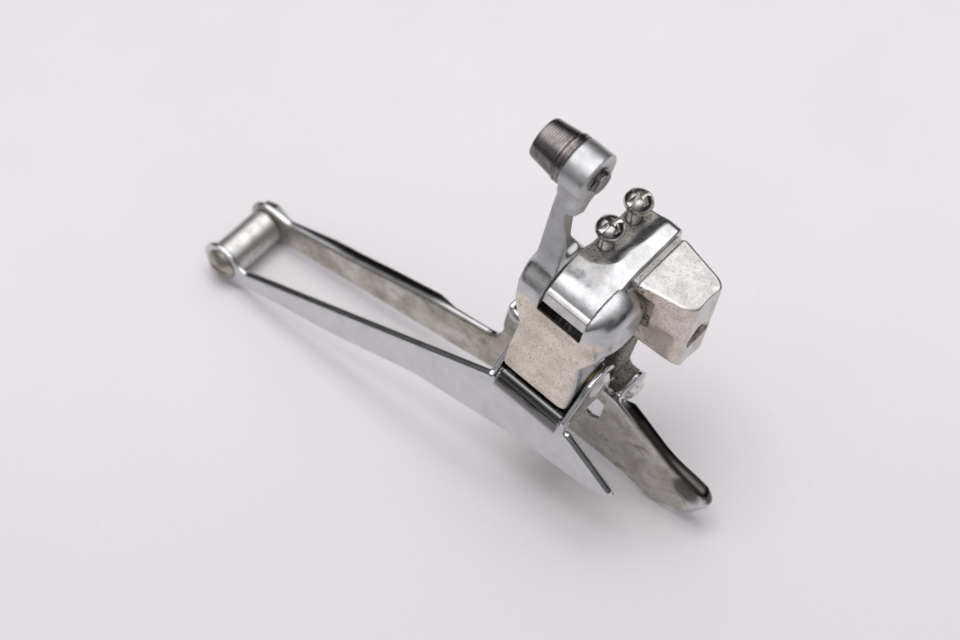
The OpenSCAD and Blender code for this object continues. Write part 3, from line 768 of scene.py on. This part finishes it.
class Finish(NodeTree):
    """Builds one node material. Patterns run in millimetres through each piece."""

    def __init__(self, name, metallic=1.0):
        self.material = bpy.data.materials.new(name)
        self.material.use_nodes = True
        super().__init__(self.material.node_tree)
        self.bsdf = self.find("BSDF_PRINCIPLED")
        self.bsdf.inputs["Metallic"].default_value = metallic
        place = self.nodes.new("ShaderNodeTexCoord").outputs["Object"]
        self.place = self.vector("MULTIPLY", place, (1 / MM, 1 / MM, 1 / MM))

    def noise(self, per_mm, detail=4.0, stretch=(1, 1, 1), rough=0.55, warp=0.0):
        node = self.nodes.new("ShaderNodeTexNoise")
        self.put(node.inputs["Vector"], self.vector("MULTIPLY", self.place, stretch))
        self.put(node.inputs["Scale"], per_mm)
        self.put(node.inputs["Detail"], detail)
        self.put(node.inputs["Roughness"], rough)
        self.put(node.inputs["Distortion"], warp)
        return node.outputs[0]

    def ease(self, value, low, high, start=0.0, end=1.0):
        """Goes smoothly from start to end as value goes from low to high."""
        node = self.nodes.new("ShaderNodeMapRange")
        node.interpolation_type = "SMOOTHSTEP"
        keys = ("Value", "From Min", "From Max", "To Min", "To Max")
        for key, number in zip(keys, (value, low, high, start, end)):
            self.put(node.inputs[key], number)
        return node.outputs[0]

    def mask(self, name):
        """A number that mark() stored on the piece's vertices."""
        node = self.nodes.new("ShaderNodeAttribute")
        node.attribute_name = name
        return node.outputs["Fac"]

    def hollows(self):
        """1 in inner corners, 0 on flats and outer edges."""
        node = self.nodes.new("ShaderNodeNewGeometry")
        return self.ease(node.outputs["Pointiness"], 0.5, 0.44)

    def bump(self, height, distance_mm, strength=1.0):
        node = self.nodes.new("ShaderNodeBump")
        self.put(node.inputs["Height"], height)
        node.inputs["Distance"].default_value = distance_mm * MM
        node.inputs["Strength"].default_value = strength
        self.links.new(node.outputs[0], self.bsdf.inputs["Normal"])

    def paint(self, **values):
        """Sets the shader's inputs and returns the finished material."""
        for key, value in values.items():
            self.put(self.bsdf.inputs[key.replace("_", " ")], value)
        return self.material


def tone(r, g=None, b=None):
    """Opaque colour, grey where only r is given."""
    g = r if g is None else g
    b = r if b is None else b
    return (r, g, b, 1.0)


# Brown for dirt, and for the painted shade in inner corners
DIRT_AND_SHADE = tone(0.09, 0.065, 0.045)
# Near-black for painted shade
SHADE_BLACK = tone(0.012, 0.01, 0.009)


def casting_dirt_and_shade(f, matte):
    """Specks on the ground faces, pits where the dirt mask is, and painted shade mixed with dust in inner
    corners.
    """
    speck_room = f.plus(f.times(matte, 0.8), 0.06)
    specks = f.times(f.ease(f.noise(2.3, 8, rough=0.8), 0.5, 0.66), speck_room)
    pits = f.times(f.ease(f.noise(1.9, 5, rough=0.65), 0.52, 0.6), f.mask("dirt"))
    # Painted shade mixed with dust: darker in inner corners, in patches
    corners = f.times(f.hollows(), f.ease(f.noise(0.8, 5), 0.3, 0.6))
    return f.larger(f.larger(f.times(specks, 0.8), pits), f.times(corners, 0.75))


def forged_aluminium():
    """Satin casting: matte and speckled on the ground faces, dirt and painted shade in the corners, painted
    shade where the shade mask is.
    """
    f = Finish("forged_aluminium")
    matte = f.mask("matte")
    # Mask of where shade is painted (on chrome, also dark reflections)
    painted_shade_and_reflection = f.mask("painted_shade_and_reflection")
    cloud = f.ease(f.noise(0.22, 5, warp=0.6), 0.35, 0.7)
    polished = f.blend(cloud, tone(0.60, 0.605, 0.62), tone(0.46, 0.46, 0.465))
    ground = f.blend(cloud, tone(0.92, 0.84, 0.77), tone(0.74, 0.66, 0.59))
    # Dirt specks and pits, with the painted shade in inner corners
    dirt = casting_dirt_and_shade(f, matte)
    base = f.blend(dirt, f.blend(matte, polished, ground), DIRT_AND_SHADE)
    # Painted shade: near-black where the shade mask is
    base = f.blend(painted_shade_and_reflection, base, SHADE_BLACK)
    # From here dirt also carries the painted shade, for roughness, metal and bump
    dirt = f.larger(dirt, painted_shade_and_reflection)
    grain = f.noise(5.5, 3)
    satin = f.ease(f.noise(0.5, 4, (1, 1, 0.3)), 0.3, 0.75, 0.22, 0.38)
    rough = f.plus(satin, f.times(matte, f.ease(grain, 0.2, 0.8, 0.16, 0.32)))
    rough = f.plus(rough, f.times(dirt, 0.35))
    scratches = f.ease(f.noise(3.0, 2, (0.2, 3, 0.35)), 0.62, 0.7)
    height = f.times(grain, f.plus(f.times(matte, 0.8), 0.12))
    height = f.plus(height, f.times(scratches, -0.12))
    height = f.plus(height, f.times(dirt, -0.5))
    f.bump(f.plus(height, f.times(f.noise(0.35, 2), 1.4)), 0.045)
    return f.paint(Base_Color=base, Roughness=rough, Metallic=f.plus(f.times(dirt, -0.7), 1.0))


def chrome_plate():
    """Worn chrome: bright outside, grimy where the chain rubs, with painted shade in inner corners and
    painted shade and dark reflections where their mask is.
    """
    f = Finish("chrome_plate")
    grime = f.mask("grime")
    haze = f.ease(f.noise(0.18, 5, warp=0.8), 0.35, 0.75)
    smear = f.ease(f.noise(0.16, 7, rough=0.62, warp=0.5), 0.3, 0.72)
    stain = f.ease(f.noise(0.3, 8, (1, 0.6, 1), rough=0.7, warp=1.5), 0.52, 0.68)
    clean = f.blend(haze, tone(0.63, 0.635, 0.65), tone(0.55, 0.55, 0.56))
    dull = f.blend(smear, tone(0.60, 0.585, 0.545), tone(0.36, 0.335, 0.29))
    dull = f.blend(f.times(stain, 0.75), dull, tone(0.17, 0.135, 0.095))
    base = f.blend(grime, clean, dull)
    # Painted shade: near-black in inner corners
    base = f.blend(f.times(f.hollows(), 0.6), base, tone(0.07, 0.055, 0.045))
    # Painted shade and painted dark reflections where the shade mask is
    base = f.blend(f.mask("painted_shade_and_reflection"), base, tone(0.03, 0.022, 0.018))
    rubbed = f.ease(f.noise(2.4, 3, (1, 0.06, 1.2)), 0.62, 0.72)
    rough = f.plus(f.ease(haze, 0, 1, 0.05, 0.11), f.times(grime, f.ease(smear, 0, 1, 0.22, 0.38)))
    rough = f.plus(rough, f.times(rubbed, 0.1))
    f.bump(f.plus(f.noise(0.12, 1), f.times(rubbed, -0.03)), 0.12)
    return f.paint(Base_Color=base, Roughness=rough)


def turned_metal(name, light, dark, rough, tool_marks=(1, 1, 1), grooves=0.5):
    """Turned or drawn metal. tool_marks stretches the pattern, and grooves is its strength."""
    f = Finish(name)
    blot = f.ease(f.noise(0.5, 5, warp=0.5), 0.35, 0.7)
    marks = f.noise(3.5, 2, tool_marks)
    base = f.blend(blot, light, dark)
    # Painted shade: near-black in inner corners
    base = f.blend(f.times(f.hollows(), 0.7), base, tone(0.05, 0.04, 0.035))
    f.bump(marks, 0.02, grooves)
    return f.paint(Base_Color=base, Roughness=f.plus(
        f.ease(blot, 0, 1, rough, rough + 0.12), f.times(marks, 0.06)))


def sleeve_plastic():
    """Black plastic, stained darker in places."""
    f = Finish("sleeve_plastic", metallic=0.0)
    stain = f.ease(f.noise(0.7, 5), 0.4, 0.7)
    f.bump(f.noise(6, 2), 0.02)
    return f.paint(Base_Color=f.blend(stain, tone(0.03), tone(0.015, 0.013, 0.012)), Roughness=0.55)


ALUMINIUM = forged_aluminium()
CHROME = chrome_plate()
BRIGHT_STEEL = turned_metal("bright_steel", tone(0.78), tone(0.55, 0.53, 0.5), 0.16)
DULL_STEEL = turned_metal("dull_steel", tone(0.42, 0.40, 0.36), tone(0.2, 0.17, 0.13), 0.28)
SCREW_STEEL = turned_metal("plated_screw", tone(0.52, 0.51, 0.50), tone(0.24, 0.22, 0.20), 0.1)
CLAMP_STEEL = turned_metal(
    "turned_clamp", tone(0.26, 0.235, 0.235), tone(0.14, 0.12, 0.115), 0.15, (0.05, 2.2, 0.05), grooves=1.0)
SPACER = turned_metal("brushed_spacer", tone(0.62, 0.61, 0.59), tone(0.45, 0.44, 0.42), 0.34, (0.1, 1, 1))
BRONZE = turned_metal("bronze", tone(0.30, 0.20, 0.11), tone(0.18, 0.12, 0.07), 0.35)
SPRING = turned_metal("spring_wire", tone(0.07), tone(0.04, 0.035, 0.03), 0.4)
SLEEVE = sleeve_plastic()


def surface_of(obj):
    """Coordinates of a piece's vertices, in millimetres about the pivot, and of their normals."""
    count = len(obj.data.vertices)
    points, normals = np.zeros(count * 3, np.float32), np.zeros(count * 3, np.float32)
    obj.data.vertices.foreach_get("co", points)
    obj.data.vertices.foreach_get("normal", normals)
    return (points.reshape(-1, 3) / MM - np.array(PIVOT)).T, normals.reshape(-1, 3).T


def step_up(value, low, high):
    """0 below low, 1 above high, and smooth between."""
    t = np.clip((value - low) / (high - low), 0, 1)
    return t * t * (3 - 2 * t)


def step_down(value, low, high):
    return 1 - step_up(value, low, high)


def mark(obj, name, *values):
    """Stores the largest of some masks on every vertex, for the finish to read."""
    layer = obj.data.attributes.new(name, "FLOAT", "POINT")
    strongest = np.broadcast_to(np.maximum.reduce(np.broadcast_arrays(*values)), len(obj.data.vertices))
    layer.data.foreach_set("value", np.clip(strongest, 0, 1).astype(np.float32))


# ---- the pieces, finished and hung on their bodies ----

def finish_piece(obj, body, node, material):
    """Hangs a piece on its body in place of a CAD node and gives it its finish."""
    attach(obj, body)
    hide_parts(node)
    obj.data.materials.append(material)
    return obj


def dress_outer_link():
    obj = finish_piece(outer_link(), "outer_arm", "outer_link", ALUMINIUM)
    (_, y, z), (nx, ny, nz) = surface_of(obj)
    from_middle = np.abs(y)
    face = step_up(nx, 0.55, 0.8) * step_down(z, -1, 1)
    inside = step_down(from_middle, EAR_IN - 0.2, EAR_IN + 0.2) * step_down(nx, -0.3, 0.2)
    pocket = step_up(ny, 0.3, 0.7) * step_down(y, -7.4, -7.0) * step_up(z, 9, 10)
    mark(obj, "matte", face, inside, 0.6 * pocket)
    low_corners = step_down(z, -22, -15) * step_up(from_middle, 4.5, 7.5)
    mark(obj, "dirt", 0.55 * low_corners * face + 0.3 * pocket)
    # Painted shade in the slot's sill and in the hollow under the pin; the arm painted darker from z 7 up,
    # less above z 25
    sill = step_up(nz, 0.3, 0.6) * (from_middle < EAR_IN) * (np.abs(z) < 1.4)
    hollow = (from_middle < EAR_IN + 0.05) * (z < 0.5) * step_down(nx, 0.4, 0.6)
    arm = 0.3 * step_up(z, 7, 12) - 0.16 * step_up(z, 25, 29)
    mark(obj, "painted_shade_and_reflection", sill, hollow, arm)


def dress_body():
    obj = finish_piece(body_casting(), "body", "body_casting", ALUMINIUM)
    (x, y, z), (nx, _, nz) = surface_of(obj)
    on_barrel = np.abs(y) < BARREL_HALF
    on_block = step_up(y, 6.2, 7.4)
    side = on_block * step_up(nx, 0.4, 0.8)
    top = on_block * step_up(nz, 0.6, 0.9)
    towards_trough = nx * (TROUGH_START[0] - x) + nz * (TROUGH_START[2] - 0.1 - z)
    trough = step_down(x, -1, 0) * step_up(towards_trough, 5, 6.5)
    band = step_up(x, 5.0, 6.0) * (z > 0) * on_barrel
    mark(obj, "matte", side, trough, 0.2 * band, 0.4 * on_block * (1 - top), 0.15 * top)
    # Painted shade under the barrel, in the trough and on the low facet of the block
    near_pin = (np.hypot(x, z) < BARREL_R + 0.2) * (x > -4)
    under = near_pin * on_barrel * step_down(z, -0.5, 0.1)
    facet = (nx > 0.6) * step_down(z, -4, -1) * step_up(y + z, 1.5, 4.5) * step_down(y, 15.5, 17.6)
    mark(obj, "painted_shade_and_reflection", under, 0.5 * trough, 0.35 * facet * on_block)
    by_the_ear = side * step_up(z, -6, 4) * step_down(y, 8, 14)
    mark(obj, "dirt", by_the_ear, 0.05 * top, 0.8 * trough)


def dress_inner_link():
    obj = finish_piece(inner_link(), "inner_arm", "inner_link", ALUMINIUM)
    mark(obj, "matte", 0.8)
    mark(obj, "dirt", 0.9)
    # Painted shade over the whole inner link
    mark(obj, "painted_shade_and_reflection", 0.55)


def dress_outer_plate():
    obj = finish_piece(cage_outer_plate(), "cage", "cage_outer_plate", CHROME)
    (_, y, z), (nx, _, nz) = surface_of(obj)
    chain_side = step_down(nx, -0.7, -0.3) * step_down(z, -28, -26)
    mark(obj, "grime", chain_side, 0.35 * step_down(nz, -0.6, -0.2))
    off_ears = np.abs(np.abs(y) - (EAR_PLACES[0] + SHEET / 2)) > 0.7
    # Painted shade on the bridge's top, between the ears
    on_bridge = (y > -7.7) * (y < 9) * off_ears * step_up(z, -28.5, -28) * (z < -23.5)
    mark(obj, "painted_shade_and_reflection", 0.72 * on_bridge * step_up(nz, 0.2, 0.4))


def dress_inner_plate():
    obj = finish_piece(cage_inner_plate(), "cage", "cage_inner_plate", CHROME)
    (x, y, z), (nx, _, nz) = surface_of(obj)
    chain_side = step_up(nx, 0.3, 0.7) * step_down(z, -30, -27)
    nose_tip = step_up(y, 32.5, 35)
    mark(obj, "grime", chain_side * (1 - nose_tip), 0.25 * step_down(nx, -0.8, -0.4))
    # Painted dark reflection on the rolled flange at the nose and at the rear, and painted shade in the
    # scoop
    flange = step_up(nz, 0.15, 0.45) * step_down(x, -2.3, -1.8) * step_up(x, -4.6, -4.0)
    nose = 0.93 * step_up(y, 13, 15)
    rear = 0.7 * step_down(y, -34, -28) * step_up(y, -62, -58)
    scoop = (x > -2.6) * step_down(np.hypot(y - 32.2, z + 38.4), 2.2, 4.2)
    mark(obj, "painted_shade_and_reflection", flange * (nose + rear), 0.85 * scoop)


dress_outer_link()
dress_body()
dress_inner_link()
dress_outer_plate()
dress_inner_plate()
for screw in ("low", "high"):
    finish_piece(
        limit_screw(f"{screw}_screw_turned", f"{screw}_limit_screw"),
        f"{screw}_screw", f"{screw}_limit_screw", SCREW_STEEL)
finish_piece(clamp_bolt(), "clamp_bolt", "cable_clamp_bolt", CLAMP_STEEL)
finish_piece(clamp_washer(), "clamp_bolt", "cable_clamp_washer", CLAMP_STEEL)
finish_piece(tail_spacer(), "cage", "tail_spacer", SPACER)
finish_piece(tail_screw(), "cage", "tail_screw", DULL_STEEL)

# CAD nodes shown as they are
KEPT_NODES = {
    "upper_outer_pin": BRIGHT_STEEL,
    "upper_inner_pin": BRIGHT_STEEL,
    "upper_inner_clip": BRIGHT_STEEL,
    "lower_outer_pin": BRIGHT_STEEL,
    "lower_inner_pin": BRIGHT_STEEL,
    "bridge_rivets": BRIGHT_STEEL,
    "tail_nut": BRIGHT_STEEL,
    "upper_outer_bush": BRONZE,
    "upper_inner_bush": BRONZE,
    "lower_inner_bush": BRONZE,
    "lower_outer_washers": BRONZE,
    "return_spring": SPRING,
    "spring_sleeve": SLEEVE,
}
for node_name, finish in KEPT_NODES.items():
    slots = frame["nodes"][node_name].data.materials
    slots.clear()
    slots.append(finish)


# ---- table, light and camera ----

TABLE_HALF = 0.45
LEAST_SLOPE, MOST_SLOPE, SLOPE_STEPS = 6, 16, 401


def shown_points():
    """Every vertex of the drawn pieces, as (y, z) in metres."""
    blocks = []
    for obj in bpy.data.objects:
        if obj.type == "MESH" and "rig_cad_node" not in obj:
            co = np.zeros(len(obj.data.vertices) * 3, np.float32)
            obj.data.vertices.foreach_get("co", co)
            blocks.append(co.reshape(-1, 3)[:, 1:])
    return np.vstack(blocks)


def resting_line(points):
    """Height at Y = 0 and slope of the line that the object rests on, in the Y, Z plane.

    Of all lines with the object above them, it is the one that is highest under the middle.
    """
    slopes = np.radians(np.linspace(LEAST_SLOPE, MOST_SLOPE, SLOPE_STEPS))
    middle_y = points[:, 0].mean()
    heights = [(points[:, 1] - points[:, 0] * math.tan(slope)).min() for slope in slopes]
    under_middle = [height + middle_y * math.tan(slope) for height, slope in zip(heights, slopes)]
    best = int(np.argmax(under_middle))
    return heights[best], slopes[best]


FLOOR_AT, SLOPE = resting_line(shown_points())
FLOOR_UP = Vector((0, -math.sin(SLOPE), math.cos(SLOPE)))


def table_finish():
    """Pale matte board with faint clouds and a few flecks, a little darker towards the camera."""
    f = Finish("pale_table", metallic=0.0)
    flecks = f.times(f.ease(f.noise(0.9, 4, rough=0.6), 0.62, 0.68), 0.10)
    cloud = f.ease(f.noise(0.02, 3), 0.3, 0.7)
    nearer = f.ease(f.dot(f.place, (0.7, 0.7, 0)), -90, 90)
    base = f.blend(cloud, tone(0.80, 0.76, 0.785), tone(0.78, 0.74, 0.765))
    base = f.blend(nearer, base, tone(0.67, 0.65, 0.67))
    f.bump(f.noise(1.5, 3), 0.02)
    return f.paint(Base_Color=f.blend(flecks, base, tone(0.45, 0.44, 0.46)), Roughness=0.6)


def table_top():
    mesh = bpy.data.meshes.new("table_top")
    middle_at = Vector((0, 0, FLOOR_AT))
    across = Vector((TABLE_HALF, 0, 0))
    along = Vector((0, math.cos(SLOPE), math.sin(SLOPE))) * TABLE_HALF
    corners = [middle_at + a * across + b * along for a, b in ((-1, -1), (1, -1), (1, 1), (-1, 1))]
    mesh.from_pydata(corners, [], [(0, 1, 2, 3)])
    mesh.materials.append(table_finish())
    obj = bpy.data.objects.new("table_top", mesh)
    bpy.context.scene.collection.objects.link(obj)


# Grey levels of the room that reflections see, as (sine of the elevation, level)
CEILING = ((0.72, 1.1), (0.82, 2.0), (1.0, 2.3))
WALLS = ((-0.2, 0.3), (-0.12, 0.05), (0.36, 0.03), (0.48, 0.2), (0.62, 0.45), *CEILING)
WINDOW_SIDE = ((-0.3, 0.4), (-0.15, 0.09), (0.04, 0.10), (0.2, 0.22), (0.45, 0.4), (0.62, 0.55), *CEILING)
DIFFUSE_GLOW = tone(0.52, 0.52, 0.53)
BACKDROP = tone(0.76, 0.735, 0.76)


class Room(NodeTree):
    """The world: what a ray that leaves the object sees in its direction."""

    def along(self, direction, scale, shift):
        """How far the ray goes in a direction, scaled and shifted into 0 to 1."""
        ray = self.nodes.new("ShaderNodeTexCoord").outputs["Generated"]
        return self.math("MULTIPLY_ADD", self.dot(ray, direction), scale, shift, clamp=True)

    def grey(self, height, steps):
        """Grey level by height, which is 0 straight down and 1 straight up."""
        ramp = self.nodes.new("ShaderNodeValToRGB")
        self.put(ramp.inputs[0], height)
        elements = ramp.color_ramp.elements
        elements.remove(elements[1])
        for k, (sine, level) in enumerate(steps):
            at = 0.5 + 0.5 * sine
            element = elements.new(at) if k else elements[0]
            element.position = at
            element.color = tone(level, level * 0.995, level * 1.01)
        return ramp.outputs[0]


def studio():
    """A white ceiling over dark walls for reflections, and an even glow for diffuse light."""
    world = bpy.data.worlds.new("studio")
    world.use_nodes = True
    bpy.context.scene.world = world
    room = Room(world.node_tree)
    height = room.along(FLOOR_UP, 0.5, 0.5)
    outwards = room.along((1, 0, 0), 2.5, -0.75)
    reflected = room.blend(outwards, room.grey(height, WALLS), room.grey(height, WINDOW_SIDE))
    ray = room.nodes.new("ShaderNodeLightPath").outputs
    seen = room.blend(ray["Is Diffuse Ray"], reflected, DIFFUSE_GLOW)
    seen = room.blend(ray["Is Camera Ray"], seen, BACKDROP)
    room.put(room.find("BACKGROUND").inputs["Color"], seen)


def ceiling_light():
    """Soft round lamp above the table, left out of reflections."""
    distance = 0.9
    light = bpy.data.lights.new("ceiling_light", "AREA")
    light.shape = "DISK"
    light.size = 0.6
    light.energy = 4.95
    obj = bpy.data.objects.new("ceiling_light", light)
    obj.location = PIVOT * MM + FLOOR_UP * distance
    obj.rotation_euler = FLOOR_UP.to_track_quat("Z", "Y").to_euler()
    obj.visible_glossy = False
    bpy.context.scene.collection.objects.link(obj)


def photo_camera():
    """The photo's view: a long lens half a metre away, above, in front and to the outer side."""
    distance = 0.505
    right = Vector((-0.656, 0.746, 0.113)).normalized()
    back = Vector((0.435, 0.251, 0.865))
    back = (back - right * back.dot(right)).normalized()
    up = back.cross(right)
    target = (PIVOT + Vector((15.43, -12.15, -4.22))) * MM
    focus = bpy.data.objects.new("focus", None)
    focus.location = (PIVOT + Vector((7, 0, -6))) * MM
    data = bpy.data.cameras.new("photo")
    data.sensor_width = 36
    data.lens = 101.25
    data.dof.use_dof = True
    data.dof.focus_object = focus
    data.dof.aperture_fstop = 18
    camera = bpy.data.objects.new("photo", data)
    facing = Matrix((right, up, back)).transposed().to_4x4()
    camera.matrix_world = Matrix.Translation(target + back * distance) @ facing
    bpy.context.scene.collection.objects.link(focus)
    bpy.context.scene.collection.objects.link(camera)
    bpy.context.scene.camera = camera


table_top()
studio()
ceiling_light()
photo_camera()
bpy.context.scene.view_settings.view_transform = "Standard"
